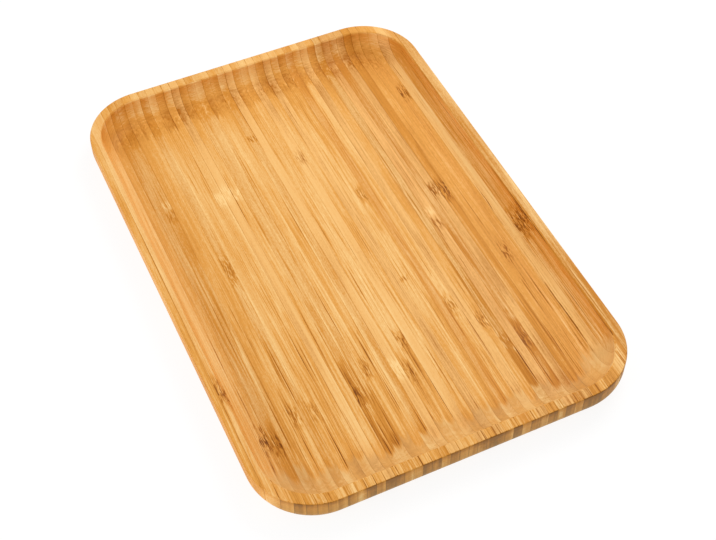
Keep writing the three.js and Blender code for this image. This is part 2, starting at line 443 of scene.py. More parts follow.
def pile(tree, start, *parts):
    """Add several amounts to a start, each times its weight."""
    for amount, weight in parts:
        start = add(tree, "ShaderNodeMath", {0: amount, 1: weight, 2: start}, operation="MULTIPLY_ADD")
    return start


def product(tree, start, *factors):
    """Multiply a start by several factors."""
    for factor in factors:
        start = add(tree, "ShaderNodeMath", {0: start, 1: factor}, operation="MULTIPLY")
    return start


def end_to_end(tree, spot, near, far):
    """Change evenly from the near end's value to the far end's."""
    return add(tree, "ShaderNodeMapRange",
               {"Value": spot.along, "From Min": -ENDS_REACH, "From Max": ENDS_REACH,
                "To Min": near, "To Max": far})


def find_spot(tree, sizes):
    """Find where a spot lies on the tray and on its strip."""
    place = add(tree, "ShaderNodeTexCoord").outputs["Object"]
    place = add(tree, "ShaderNodeVectorMath", {0: place, "Scale": 1 / MM}, operation="SCALE")
    axes = add(tree, "ShaderNodeSeparateXYZ", {0: place}).outputs
    shift = add(tree, "ShaderNodeAttribute", attribute_name="grain_shift").outputs["Vector"]
    culm = add(tree, "ShaderNodeVectorMath", {0: place, 1: shift}, operation="ADD")
    across = add(tree, "ShaderNodeAttribute", attribute_name="across").outputs["Fac"]
    lean = add(tree, "ShaderNodeMapRange", {"Value": across, "To Min": -1.0, "To Max": 1.0})

    middles = (sizes.width / 2 - sizes.corner_radius, sizes.length / 2 - sizes.corner_radius, sizes.height)
    past = add(tree, "ShaderNodeVectorMath", {0: place}, operation="ABSOLUTE")
    past = add(tree, "ShaderNodeVectorMath", {0: past, 1: [m / MM for m in middles]}, operation="SUBTRACT")
    past = add(tree, "ShaderNodeVectorMath", {0: past, 1: (0.0, 0.0, 0.0)}, operation="MAXIMUM")
    outward = add(tree, "ShaderNodeVectorMath", {0: past}, operation="LENGTH").outputs["Value"]
    endways = add(tree, "ShaderNodeSeparateXYZ", {0: past}).outputs["Y"]
    endways = add(tree, "ShaderNodeMath", {0: endways, 1: outward}, operation="DIVIDE")
    rim = sizes.height / MM
    sunk = add(tree, "ShaderNodeMapRange",
               {"Value": axes["Z"], "From Min": rim - LAND_START, "From Max": rim - LAND_END})
    endways = add(tree, "ShaderNodeMath", {0: endways, 1: sunk}, operation="MULTIPLY")
    level = add(tree, "ShaderNodeMath", {0: 1.0, 1: sunk}, operation="SUBTRACT")

    ragged = swing(tree, culm, GRAIN_RAGGED, ROUGH)
    far = add(tree, "ShaderNodeMapRange",
              {"Value": axes["Y"], "From Min": FLAME_START, "From Max": FLAME_FULL},
              interpolation_type="SMOOTHSTEP")
    return Spot(place, culm, axes["Y"], axes["Z"], lean, outward, endways, level, ragged, far)


def knuckle_depth(tree, spot):
    """How deep in a knuckle of the culm a spot is, below 0 in a pale one."""
    uneven = add(tree, "ShaderNodeMath", {0: spot.ragged, 1: KNUCKLE_RAGGED, 2: spot.along},
                 operation="MULTIPLY_ADD")
    facts = []
    for name in ("knuckle_place", "knuckle_reach", "knuckle_depth"):
        fact = add(tree, "ShaderNodeAttribute", attribute_name=name).outputs["Vector"]
        facts.append(add(tree, "ShaderNodeSeparateXYZ", {0: fact}).outputs)
    places, reaches, depths = facts
    total = 0.0
    for axis in "XYZ":
        away = add(tree, "ShaderNodeMath", {0: uneven, 1: places[axis]}, operation="SUBTRACT")
        away = add(tree, "ShaderNodeMath", {0: away}, operation="ABSOLUTE")
        near = add(tree, "ShaderNodeMapRange", {"Value": away, "From Min": reaches[axis], "From Max": 0.0},
                   interpolation_type="SMOOTHSTEP")
        total = add(tree, "ShaderNodeMath", {0: near, 1: depths[axis], 2: total}, operation="MULTIPLY_ADD")
    return total


def stain_depth(tree, spot):
    """How dark the stains of its strip make a spot, below 0 where they bleach it."""
    uneven = add(tree, "ShaderNodeMath", {0: spot.ragged, 1: STAIN_RAGGED, 2: spot.along},
                 operation="MULTIPLY_ADD")
    facts = []
    for name in ("stain_side", "stain_fade"):
        fact = add(tree, "ShaderNodeAttribute", attribute_name=name).outputs["Vector"]
        facts.append(add(tree, "ShaderNodeSeparateXYZ", {0: fact}).outputs)
    sides, fades = facts
    total = 0.0
    for number, axis in enumerate("XYZ", 1):
        stain = add(tree, "ShaderNodeAttribute", attribute_name=f"stain_{number}").outputs["Vector"]
        stain = add(tree, "ShaderNodeSeparateXYZ", {0: stain}).outputs
        after = add(tree, "ShaderNodeMath", {0: uneven, 1: stain["X"]}, operation="SUBTRACT")
        after = add(tree, "ShaderNodeMath", {0: after, 1: fades[axis]}, operation="DIVIDE", use_clamp=True)
        before = add(tree, "ShaderNodeMath", {0: stain["Y"], 1: uneven}, operation="SUBTRACT")
        before = add(tree, "ShaderNodeMath", {0: before, 1: fades[axis]}, operation="DIVIDE", use_clamp=True)
        within = product(tree, after, before, stain["Z"])
        narrow = add(tree, "ShaderNodeMath", {0: sides[axis]}, operation="ABSOLUTE")
        share = add(tree, "ShaderNodeMath", {0: spot.lean, 1: sides[axis], 2: STAIN_WIDTH},
                    operation="MULTIPLY_ADD")
        share = add(tree, "ShaderNodeMath", {0: share, 1: narrow}, operation="SUBTRACT", use_clamp=True)
        total = add(tree, "ShaderNodeMath", {0: within, 1: share, 2: total}, operation="MULTIPLY_ADD")
    return total


def find_cut(tree, spot):
    """Find how a spot's surface cuts the fibres, which run out in a tongue of each strip's own.

    The spot comes back shifted in its culm, because other fibres come up where the surface rises.
    """
    tongue = add(tree, "ShaderNodeMath", {0: spot.lean, 1: spot.lean}, operation="MULTIPLY")
    dive = add(tree, "ShaderNodeAttribute", attribute_name="dive").outputs["Fac"]
    uneven = add(tree, "ShaderNodeMapRange",
                 {"Value": spot.far, "To Min": TONGUE_RAGGED, "To Max": FLAME_RAGGED})
    under = add(tree, "ShaderNodeMapRange",
                {"Value": spot.height, "From Min": FOOT_START, "From Max": FOOT_END,
                 "To Max": UNDERSIDE_LAG})
    reach = pile(tree, spot.outward, (spot.ragged, uneven), (tongue, TONGUE_REACH), (dive, 1.0),
                 (spot.far, FLAME_LEAD), (under, -1.0))
    rise = add(tree, "ShaderNodeMapRange",
               {"Value": reach, "From Min": RUN_OUT_START, "From Max": RUN_OUT_END, "To Max": RUN_OUT_RISE},
               interpolation_type="SMOOTHSTEP")
    rise = add(tree, "ShaderNodeCombineXYZ", {"Z": rise})
    culm = add(tree, "ShaderNodeVectorMath", {0: spot.culm, 1: rise}, operation="ADD")

    wall = add(tree, "ShaderNodeMapRange",
               {"Value": spot.outward, "From Min": WALL_START, "From Max": WALL_FULL},
               interpolation_type="SMOOTHSTEP")
    squarely = add(tree, "ShaderNodeMapRange", {"Value": wall, "To Min": CORNER_GAIN, "To Max": 1.0})
    squarely = add(tree, "ShaderNodeMath", {0: spot.endways, 1: squarely},
                   operation="MULTIPLY", use_clamp=True)
    ends = add(tree, "ShaderNodeMapRange",
               {"Value": reach, "From Min": TONGUE_START, "From Max": TONGUE_END},
               interpolation_type="SMOOTHSTEP")
    ends = add(tree, "ShaderNodeMath", {0: ends, 1: squarely}, operation="MULTIPLY")
    steep = add(tree, "ShaderNodeNewGeometry").outputs["Normal"]
    steep = add(tree, "ShaderNodeSeparateXYZ", {0: steep}).outputs["Y"]
    steep = add(tree, "ShaderNodeMath", {0: steep}, operation="ABSOLUTE")
    steep = add(tree, "ShaderNodeMapRange",
                {"Value": steep, "From Min": STEEP_START, "From Max": STEEP_FULL},
                interpolation_type="SMOOTHSTEP")
    return Cut(ends, squarely, wall, steep), spot._replace(culm=culm)


def lay_fibres(tree, spot, cut, knuckle, stain):
    """Lay the fibres: few strong bundles, many faint ones and fine streaks, denser towards the culm's skin.

    They wander a little everywhere, and curl at a knuckle.
    """
    roaming = grain(tree, spot.culm, GRAIN_WANDER, SMOOTH)
    wander = add(tree, "ShaderNodeVectorMath", {0: roaming.outputs["Color"], 1: [MIDDLING] * 3},
                 operation="SUBTRACT")
    wander = add(tree, "ShaderNodeVectorMath", {0: wander, "Scale": WANDER_REACH / MIDDLING},
                 operation="SCALE")
    curl = grain(tree, spot.culm, GRAIN_CURL, SMOOTH).outputs["Color"]
    curl = add(tree, "ShaderNodeVectorMath", {0: curl, 1: [MIDDLING] * 3}, operation="SUBTRACT")
    curl = add(tree, "ShaderNodeVectorMath", {0: curl, 1: (CURL_REACH / MIDDLING, 0.0, 0.0)},
               operation="MULTIPLY")
    curling = add(tree, "ShaderNodeMath", {0: knuckle}, operation="ABSOLUTE", use_clamp=True)
    curl = add(tree, "ShaderNodeVectorMath", {0: curl, "Scale": curling}, operation="SCALE")
    bent = add(tree, "ShaderNodeVectorMath", {0: spot.culm, 1: wander}, operation="ADD")
    bent = add(tree, "ShaderNodeVectorMath", {0: bent, 1: curl}, operation="ADD")

    cells = add(tree, "ShaderNodeVectorMath", {0: bent, 1: [1 / s for s in GRAIN_BUNDLE]},
                operation="MULTIPLY")
    cells = add(tree, "ShaderNodeTexVoronoi", {"Vector": cells, "Scale": 1.0}, voronoi_dimensions="3D")
    core = add(tree, "ShaderNodeMapRange",
               {"Value": cells.outputs["Distance"], "From Min": BUNDLE_EDGE, "From Max": BUNDLE_CORE},
               interpolation_type="SMOOTHSTEP")
    pick = add(tree, "ShaderNodeSeparateColor", {0: cells.outputs["Color"]}).outputs["Red"]
    pick = add(tree, "ShaderNodeMath", {0: pick, 1: FAINT_BUNDLES}, operation="POWER")
    skin = add(tree, "ShaderNodeAttribute", attribute_name="skin_side").outputs["Fac"]
    slope = add(tree, "ShaderNodeMath", {0: spot.lean, 1: skin}, operation="MULTIPLY")
    density = add(tree, "ShaderNodeMath", {0: slope, 1: SKIN_DENSITY, 2: MEAN_DENSITY},
                  operation="MULTIPLY_ADD")
    bundle = product(tree, core, pick, density)
    fine = grain(tree, bent, GRAIN_FINE, ROUGH)
    streak = pile(tree, FINE_OFFSET, (fine, FINE_DEPTH), (bundle, BUNDLE_DEPTH))

    sharp = end_to_end(tree, spot, SHARP_NEAR, SHARP_FAR)
    bared = end_to_end(tree, spot, BARED_NEAR, BARED_FAR)
    kept = add(tree, "ShaderNodeMapRange", {"Value": spot.far, "To Min": KEPT_NEAR, "To Max": KEPT_FAR})
    kept = add(tree, "ShaderNodeMapRange", {"Value": cut.ends, "To Min": 1.0, "To Max": kept})
    strength = add(tree, "ShaderNodeAttribute", attribute_name="fibre").outputs["Fac"]
    strength = pile(tree, strength, (curling, CURLED_GAIN), (stain, STAINED_GAIN))
    strength = add(tree, "ShaderNodeMath", {0: strength, 1: sharp}, operation="MULTIPLY")
    strength = add(tree, "ShaderNodeMath", {0: spot.level, 1: bared, 2: strength}, operation="MULTIPLY_ADD")
    strength = add(tree, "ShaderNodeMath", {0: strength, 1: kept}, operation="MULTIPLY")
    streak = add(tree, "ShaderNodeMath", {0: streak, 1: strength}, operation="MULTIPLY")
    return Fibres(bent, roaming, slope, fine, streak, grain(tree, bent, GRAIN_STROKE, ROUGH))


def darken(tree, spot, cut, fibres, broad, knuckle, stain):
    """Add up the darkness of the strip's body, its fibres, stains and knuckles, and the painted shade and
    light where the light falls off from the far end towards the near end.
    """
    bold = end_to_end(tree, spot, BROAD_NEAR, BROAD_FAR)
    # Painted shade and light on the rim's land: darker at the near end, paler at the far end, as the light
    # falls off
    land = end_to_end(tree, spot, RIM_FALLOFF_NEAR, RIM_FALLOFF_FAR)
    # Painted shade: darker towards the near end, as the light falls off
    near_falloff_shade = add(tree, "ShaderNodeMapRange", {"Value": spot.along, "From Min": -ENDS_REACH, "From Max": 0.0,
                                            "To Min": NEAR_FALLOFF_SHADE, "To Max": 0.0})
    soak = add(tree, "ShaderNodeMapRange",
               {"Value": fibres.streak, "From Min": SOAK_PALE, "From Max": SOAK_DARK,
                "To Min": SOAK_LEAST, "To Max": SOAK_MOST})
    soak = add(tree, "ShaderNodeMapRange", {"Value": cut.ends, "To Min": soak, "To Max": SOAK_CUT})
    speck = add(tree, "ShaderNodeMapRange",
                {"Value": fibres.stroke, "From Min": SPECK_PALE, "From Max": SPECK_DARK,
                 "To Min": SPECK_LEAST, "To Max": SPECK_MOST}, interpolation_type="SMOOTHSTEP")
    dark = add(tree, "ShaderNodeAttribute", attribute_name="shade").outputs["Fac"]
    drift = grain(tree, spot.culm, GRAIN_DRIFT, SMOOTH)
    pore = swing(tree, spot.culm, GRAIN_PORE, SMOOTH)
    return pile(tree, dark, (drift, DRIFT_DEPTH), (broad, bold), (fibres.stroke, STROKE_DEPTH),
                (pore, PORE_DEPTH), (near_falloff_shade, 1.0), (fibres.slope, SKIN_DEPTH), (spot.level, land),
                (spot.far, FAR_DEPTH), (fibres.streak, 1.0), (stain, soak), (knuckle, speck))


def haze_over(tree, spot, cut, fibres, dark):
    """Blend the fibres into an even haze where they are cut across.

    At the far end the cutter ran into the grain, so that they drink more oil there and brown. Torn fibres
    leave a curly stipple along the foot of the cove there.
    """
    brown = add(tree, "ShaderNodeMath", {0: spot.far, 1: cut.steep}, operation="SUBTRACT", use_clamp=True)
    haze = add(tree, "ShaderNodeMath", {0: brown, 1: HAZE_BROWN, 2: HAZE_TONE}, operation="MULTIPLY_ADD")
    share = add(tree, "ShaderNodeMath", {0: brown, 1: HAZE_FAR, 2: HAZE_SHARE}, operation="MULTIPLY_ADD")
    share = add(tree, "ShaderNodeMath", {0: share, 1: cut.ends}, operation="MULTIPLY")
    fringe = add(tree, "ShaderNodeMapRange",
                 {"Value": spot.outward, "From Min": FRINGE_START, "From Max": FRINGE_FULL,
                  "To Max": FRINGE_DEPTH}, interpolation_type="SMOOTHSTEP")
    dark = add(tree, "ShaderNodeMath", {0: fringe, 1: spot.endways, 2: dark}, operation="MULTIPLY_ADD")
    dark = add(tree, "ShaderNodeMix", {"Factor": share, "A": dark, "B": haze}, data_type="FLOAT")
    ripple = swing(tree, spot.culm, GRAIN_RIPPLE, SMOOTH)
    ripple = add(tree, "ShaderNodeMath", {0: ripple, 1: cut.ends}, operation="MULTIPLY")
    dark = add(tree, "ShaderNodeMath", {0: ripple, 1: RIPPLE_DEPTH, 2: dark}, operation="MULTIPLY_ADD")

    torn = add(tree, "ShaderNodeMath", {0: spot.outward, 1: TORN_MIDDLE}, operation="SUBTRACT")
    torn = add(tree, "ShaderNodeMath", {0: torn}, operation="ABSOLUTE")
    torn = add(tree, "ShaderNodeMapRange", {"Value": torn, "From Min": TORN_REACH, "From Max": 0.0},
               interpolation_type="SMOOTHSTEP")
    torn = product(tree, torn, cut.squarely, spot.far)
    stipple = swing(tree, fibres.bent, GRAIN_TORN, ROUGH)
    stipple = add(tree, "ShaderNodeMath", {0: stipple, 1: TORN_DEPTH}, operation="MULTIPLY")
    return add(tree, "ShaderNodeMath", {0: stipple, 1: torn, 2: dark}, operation="MULTIPLY_ADD")


def glue_seams(tree, spot, cut, fibres, sizes, dark):
    """Draw the glue seams along the strip's edges, where they come and go."""
    edge = add(tree, "ShaderNodeMath", {0: spot.lean}, operation="ABSOLUTE")
    edge = add(tree, "ShaderNodeMapRange", {"Value": edge, "From Min": 1 - 2 * GLUE_LINE, "From Max": 1.0},
               interpolation_type="SMOOTHSTEP")
    shown = add(tree, "ShaderNodeMapRange",
                {"Value": fibres.roaming, "From Min": SEAM_HIDDEN, "From Max": SEAM_SHOWN})
    shown = add(tree, "ShaderNodeMath", {0: shown, 1: cut.ends}, operation="MAXIMUM")
    glued = add(tree, "ShaderNodeSeparateXYZ", {0: spot.place}).outputs["X"]
    glued = add(tree, "ShaderNodeMath", {0: glued}, operation="ABSOLUTE")
    glued = add(tree, "ShaderNodeMath", {0: glued, 1: sizes.width / 2 / MM - SIDE_MARGIN},
                operation="LESS_THAN")
    edge = product(tree, edge, shown, glued)
    seam = add(tree, "ShaderNodeAttribute", attribute_name="seam").outputs["Fac"]
    seam = add(tree, "ShaderNodeMath", {0: cut.wall, 1: SEAM_ON_WALL, 2: seam}, operation="MULTIPLY_ADD")
    return add(tree, "ShaderNodeMath", {0: edge, 1: seam, 2: dark}, operation="MULTIPLY_ADD")


def end_tones(tree, spot, cut, fibres, broad, sizes, dark):
    """Give each strip a tone of its own where it is cut across, darkest on the sawn outer walls."""
    rim = sizes.height / MM
    lively = add(tree, "ShaderNodeMath", {0: spot.far, 1: END_CALM, 2: 1.0}, operation="MULTIPLY_ADD")
    end = add(tree, "ShaderNodeAttribute", attribute_name="end_shade").outputs["Fac"]
    end = add(tree, "ShaderNodeMath", {0: end, 1: lively}, operation="MULTIPLY")
    # Painted light: the cut faces are paler at the far end, where the cove faces away from the key
    end = pile(tree, end, (spot.far, FAR_CUT_LIGHT), (fibres.slope, END_SKIN))
    arris = add(tree, "ShaderNodeMapRange",
                {"Value": spot.height, "From Min": rim - ARRIS_END, "From Max": rim - ARRIS_TOP,
                 "To Min": WALL_LOW, "To Max": WALL_ARRIS})
    outer = pile(tree, WALL_TONE, (end, WALL_CONTRAST), (broad, WALL_BROAD), (arris, 1.0))
    end = add(tree, "ShaderNodeMath", {0: cut.wall, 1: outer, 2: end}, operation="MULTIPLY_ADD")
    crossed = add(tree, "ShaderNodeMath", {0: cut.ends, 1: END_SHARE}, operation="MULTIPLY")
    crossed = add(tree, "ShaderNodeMath", {0: crossed, 1: cut.steep}, operation="MAXIMUM")
    return add(tree, "ShaderNodeMath", {0: crossed, 1: end, 2: dark}, operation="MULTIPLY_ADD")


def tint(tree, spot, cut, dark, body, tones, sizes):
    """Turn the darkness into colour, and tint it where the strip is warm, where its cut fibres take a pale
    tan that is partly painted sheen, and where grey is painted on the end walls as a reflection of the white
    floor.
    """
    ramp = add(tree, "ShaderNodeValToRGB", {0: dark})
    stops = [(0.0, tones.pith), (BODY_STOP, body), (FIBRE_STOP, tones.fibre), (1.0, tones.knuckle)]
    for _ in range(len(stops) - len(ramp.color_ramp.elements)):
        ramp.color_ramp.elements.new(1.0)
    for element, (position, colour) in zip(ramp.color_ramp.elements, stops):
        element.position = position
        element.color = colour
    warmth = add(tree, "ShaderNodeAttribute", attribute_name="warmth").outputs["Fac"]
    colour = add(tree, "ShaderNodeMix", {"Factor": warmth, "A": ramp, "B": tones.blush}, data_type="RGBA")

    # Pale tan on the near end's cut fibres, strongest in the corners: partly their own dull tone, partly
    # painted sheen
    cut_tan_and_sheen = add(tree, "ShaderNodeMapRange", {"Value": spot.endways, "From Min": TAN_SLANT, "From Max": 1.0,
                                            "To Min": TAN_CORNER, "To Max": TAN_END})
    cut_tan_and_sheen = add(tree, "ShaderNodeMapRange", {"Value": spot.far, "To Min": cut_tan_and_sheen, "To Max": 0.0})
    covered = add(tree, "ShaderNodeMapRange", {"Value": cut.wall, "To Min": 1.0, "To Max": TAN_WALL})
    cut_tan_and_sheen = product(tree, cut_tan_and_sheen, cut.ends, covered)
    colour = add(tree, "ShaderNodeMix", {"Factor": cut_tan_and_sheen, "A": colour, "B": tones.cut}, data_type="RGBA")

    # Grey painted on the end walls as a reflection of the white floor, greyest towards the foot
    floor_sheen = add(tree, "ShaderNodeMapRange",
                {"Value": spot.height, "From Min": FLOOR_SHEEN_FULL, "From Max": sizes.height / MM - FLOOR_SHEEN_LEAST,
                 "To Min": FLOOR_SHEEN_LOW, "To Max": FLOOR_SHEEN_HIGH})
    floor_sheen = product(tree, floor_sheen, cut.wall, cut.steep)
    return add(tree, "ShaderNodeMix", {"Factor": floor_sheen, "A": colour, "B": tones.sawn}, data_type="RGBA")


def bamboo(name, body, tones, sizes):
    """Oiled bamboo, planed and sanded: satin, with brown fibre bundles in pale pith.

    The fibres run the whole length of a strip, so the same solid grain shows as streaks on the floor, as
    short flames where the cove cuts across it, and as specks on the end walls. A strip darkens towards
    the side that lay under the culm's skin, and at the culm's joints its fibres curl and brown.
    """
    material = bpy.data.materials.new(name)
    material.use_nodes = True
    tree = material.node_tree
    tree.nodes.clear()
    spot = find_spot(tree, sizes)
    knuckle = knuckle_depth(tree, spot)
    stain = stain_depth(tree, spot)
    cut, spot = find_cut(tree, spot)
    fibres = lay_fibres(tree, spot, cut, knuckle, stain)
    broad = swing(tree, fibres.bent, GRAIN_BROAD, SMOOTH)
    dark = darken(tree, spot, cut, fibres, broad, knuckle, stain)
    dark = haze_over(tree, spot, cut, fibres, dark)
    dark = glue_seams(tree, spot, cut, fibres, sizes, dark)
    dark = end_tones(tree, spot, cut, fibres, broad, sizes, dark)
    colour = tint(tree, spot, cut, dark, body, tones, sizes)
    gloss = add(tree, "ShaderNodeMapRange",
                {"Value": fibres.fine, "From Min": GLOSS_PITH, "From Max": GLOSS_FIBRE,
                 "To Min": PITH_ROUGHNESS, "To Max": FIBRE_ROUGHNESS})
    relief = add(tree, "ShaderNodeBump",
                 {"Height": fibres.streak, "Strength": 1.0, "Distance": FIBRE_RELIEF})
    shader = add(tree, "ShaderNodeBsdfPrincipled",
                 {"Base Color": colour, "Roughness": gloss, "IOR": OILED_IOR,
                  "Specular IOR Level": OILED_SPECULAR, "Normal": relief})
    add(tree, "ShaderNodeOutputMaterial", {"Surface": shader})
    return material


# Strips

# Inputs of the tree, named as the properties are
SECTION_SIZES = ("Length", "Width", "Height", "Corner Radius", "Foot Radius", "Rim Ease", "Rim Width",
                 "Lip Ease", "Cove Radius", "Floor Thickness")
STEP_COUNTS = ("Corner Steps", "Cove Steps", "Ease Steps")
SAW_ALLOWANCE = 5 * MM      # how far a saw cut reaches past the board
MERGE_DISTANCE = 0.01 * MM
HALF = 0.5
SHARP_EDGE = math.radians(20)
LEVEL_FACE = 0.9999         # upward part of a normal from which a face counts as level
GRAIN_SEED = 7
GRAIN_SPREAD = 400.0        # how far apart in the culm the strips are cut, in millimetres


def board_strip_tree():
    """Tree that sweeps the wall's section round the tray's outline and saws one strip out of the board."""
    tree = bpy.data.node_groups.new("board_strip", "GeometryNodeTree")
    for name in SECTION_SIZES + ("Left Seam", "Right Seam"):
        tree.interface.new_socket(name, in_out="INPUT", socket_type="NodeSocketFloat").subtype = "DISTANCE"
    for name in STEP_COUNTS:
        tree.interface.new_socket(name, in_out="INPUT", socket_type="NodeSocketInt")
    tree.interface.new_socket("Finish", in_out="INPUT", socket_type="NodeSocketMaterial")
    tree.interface.new_socket("Strip", in_out="OUTPUT", socket_type="NodeSocketGeometry")
    size = add(tree, "NodeGroupInput").outputs

    # Outline
    outline = add(tree, "GeometryNodeCurvePrimitiveQuadrilateral",
                  {"Width": size["Width"], "Height": size["Length"]})
    outline = add(tree, "GeometryNodeFilletCurve",
                  {"Curve": outline, "Count": size["Corner Steps"], "Radius": size["Corner Radius"]},
                  mode="POLY")
    outline = add(tree, "GeometryNodeSetCurveNormal", {"Curve": outline}, mode="Z_UP")

    # Places of the section's arcs, as inset from the outer wall and height
    rim_edge = add(tree, "ShaderNodeMath", {0: size["Height"], 1: size["Rim Ease"]}, operation="SUBTRACT")
    lip_inset = add(tree, "ShaderNodeMath", {0: size["Rim Width"], 1: size["Lip Ease"]},
                    operation="SUBTRACT")
    lip_height = add(tree, "ShaderNodeMath", {0: size["Height"], 1: size["Lip Ease"]}, operation="SUBTRACT")
    rise = add(tree, "ShaderNodeMath", {0: lip_height, 1: size["Floor Thickness"]}, operation="SUBTRACT")
    rise = add(tree, "ShaderNodeMath", {0: rise, 1: size["Cove Radius"]}, operation="DIVIDE")
    fall = add(tree, "ShaderNodeMath", {0: 1.0, 1: rise}, operation="SUBTRACT")
    sweep = add(tree, "ShaderNodeMath", {0: fall}, operation="ARCCOSINE")
    quarter = math.pi / 2
    start = add(tree, "ShaderNodeMath", {0: -quarter, 1: sweep}, operation="SUBTRACT")
    reach = add(tree, "ShaderNodeMath", {0: sweep}, operation="SINE")
    floor_inset = add(tree, "ShaderNodeMath", {0: reach, 1: size["Cove Radius"], 2: size["Rim Width"]},
                      operation="MULTIPLY_ADD")
    cove_height = add(tree, "ShaderNodeMath", {0: size["Floor Thickness"], 1: size["Cove Radius"]},
                      operation="ADD")
    arcs = [
        (size["Foot Radius"], size["Foot Radius"], size["Foot Radius"], -quarter, -quarter,
         size["Cove Steps"]),
        (size["Rim Ease"], rim_edge, size["Rim Ease"], 2 * quarter, -quarter, size["Ease Steps"]),
        (lip_inset, lip_height, size["Lip Ease"], quarter, -quarter, size["Ease Steps"]),
        (floor_inset, cove_height, size["Cove Radius"], start, sweep, size["Cove Steps"]),
    ]
    section = add(tree, "GeometryNodeJoinGeometry")
    for inset, height, radius, first, bend, steps in reversed(arcs):
        arc = add(tree, "GeometryNodeCurveArc",
                  {"Resolution": steps, "Radius": radius, "Start Angle": first, "Sweep Angle": bend},
                  mode="RADIUS")
        centre = add(tree, "ShaderNodeCombineXYZ", {"X": inset, "Y": height})
        arc = add(tree, "GeometryNodeTransform", {"Geometry": arc, "Translation": centre})
        tree.links.new(arc.outputs[0], section.inputs[0])
    section = add(tree, "GeometryNodeCurveToPoints", {"Curve": section}, mode="EVALUATED")
    section = add(tree, "GeometryNodePointsToCurves", {"Points": section})
    section = add(tree, "GeometryNodeTransform", {"Geometry": section, "Rotation": (0, 0, math.pi)})
    wall = add(tree, "GeometryNodeCurveToMesh", {"Curve": outline, "Profile Curve": section})

    # Floor of the well and underside, filled in between the ends of the section
    neighbours = add(tree, "GeometryNodeInputMeshEdgeNeighbors")
    free = add(tree, "FunctionNodeCompare", {"A": neighbours, "B": 1}, data_type="INT", operation="EQUAL")
    rings = add(tree, "GeometryNodeMeshToCurve", {"Mesh": wall, "Selection": free})
    level = add(tree, "ShaderNodeSeparateXYZ", {0: add(tree, "GeometryNodeInputPosition")}).outputs["Z"]
    half_floor = add(tree, "ShaderNodeMath", {0: size["Floor Thickness"], 1: HALF}, operation="MULTIPLY")
    upper = add(tree, "FunctionNodeCompare", {"A": level, "B": half_floor}, data_type="FLOAT",
                operation="GREATER_THAN")
    rings = add(tree, "GeometryNodeSeparateGeometry", {"Geometry": rings, "Selection": upper},
                domain="CURVE")
    floor = add(tree, "GeometryNodeFillCurve", {"Curve": rings.outputs["Selection"]}, mode="NGONS")
    lift = add(tree, "ShaderNodeCombineXYZ", {"Z": size["Floor Thickness"]})
    floor = add(tree, "GeometryNodeTransform", {"Geometry": floor, "Translation": lift})
    underside = add(tree, "GeometryNodeFillCurve", {"Curve": rings.outputs["Inverted"]}, mode="NGONS")
    board = add(tree, "GeometryNodeJoinGeometry")
    for part in (add(tree, "GeometryNodeFlipFaces", {"Mesh": wall}), floor,
                 add(tree, "GeometryNodeFlipFaces", {"Mesh": underside})):
        tree.links.new(part.outputs[0], board.inputs[0])
    board = add(tree, "GeometryNodeMergeByDistance", {"Geometry": board, "Distance": MERGE_DISTANCE})

    # Saw cuts along the strip's two seams
    thickness = add(tree, "ShaderNodeMath", {0: size["Right Seam"], 1: size["Left Seam"]},
                    operation="SUBTRACT")
    both = add(tree, "ShaderNodeMath", {0: size["Right Seam"], 1: size["Left Seam"]}, operation="ADD")
    middle = add(tree, "ShaderNodeMath", {0: both, 1: HALF}, operation="MULTIPLY")
    half_height = add(tree, "ShaderNodeMath", {0: size["Height"], 1: HALF}, operation="MULTIPLY")
    long = add(tree, "ShaderNodeMath", {0: size["Length"], 1: 2 * SAW_ALLOWANCE}, operation="ADD")
    tall = add(tree, "ShaderNodeMath", {0: size["Height"], 1: 2 * SAW_ALLOWANCE}, operation="ADD")
    slab = add(tree, "GeometryNodeMeshCube",
               {"Size": add(tree, "ShaderNodeCombineXYZ", {"X": thickness, "Y": long, "Z": tall})})
    centre = add(tree, "ShaderNodeCombineXYZ", {"X": middle, "Z": half_height})
    slab = add(tree, "GeometryNodeTransform", {"Geometry": slab, "Translation": centre})
    strip = add(tree, "GeometryNodeMeshBoolean", operation="INTERSECT", solver="MANIFOLD")
    for part in (board, slab):
        tree.links.new(part.outputs[0], strip.inputs["Mesh 2"])

    # Crisp sawn edges, level faces left level, and everything else smooth
    angle = add(tree, "GeometryNodeInputMeshEdgeAngle")
    crisp = add(tree, "FunctionNodeCompare", {"A": angle, "B": SHARP_EDGE}, data_type="FLOAT",
                operation="LESS_THAN")
    strip = add(tree, "GeometryNodeSetShadeSmooth", {"Geometry": strip, "Shade Smooth": crisp},
                domain="EDGE")
    upright = add(tree, "ShaderNodeSeparateXYZ", {0: add(tree, "GeometryNodeInputNormal")}).outputs["Z"]
    upright = add(tree, "ShaderNodeMath", {0: upright}, operation="ABSOLUTE")
    curved = add(tree, "FunctionNodeCompare", {"A": upright, "B": LEVEL_FACE}, data_type="FLOAT",
                 operation="LESS_THAN")
    strip = add(tree, "GeometryNodeSetShadeSmooth", {"Geometry": strip, "Shade Smooth": curved},
                domain="FACE")

    # Share of the way across the strip, for the grain
    sideways = add(tree, "ShaderNodeSeparateXYZ", {0: add(tree, "GeometryNodeInputPosition")}).outputs["X"]
    share = add(tree, "ShaderNodeMapRange",
                {"Value": sideways, "From Min": size["Left Seam"], "From Max": size["Right Seam"]})
    strip = add(tree, "GeometryNodeStoreNamedAttribute",
                {"Geometry": strip, "Name": "across", "Value": share}, data_type="FLOAT", domain="POINT")
    strip = add(tree, "GeometryNodeRealizeInstances", {"Geometry": strip})
    strip = add(tree, "GeometryNodeSetMaterial", {"Geometry": strip, "Material": size["Finish"]})
    add(tree, "NodeGroupOutput", {"Strip": strip})
    return tree


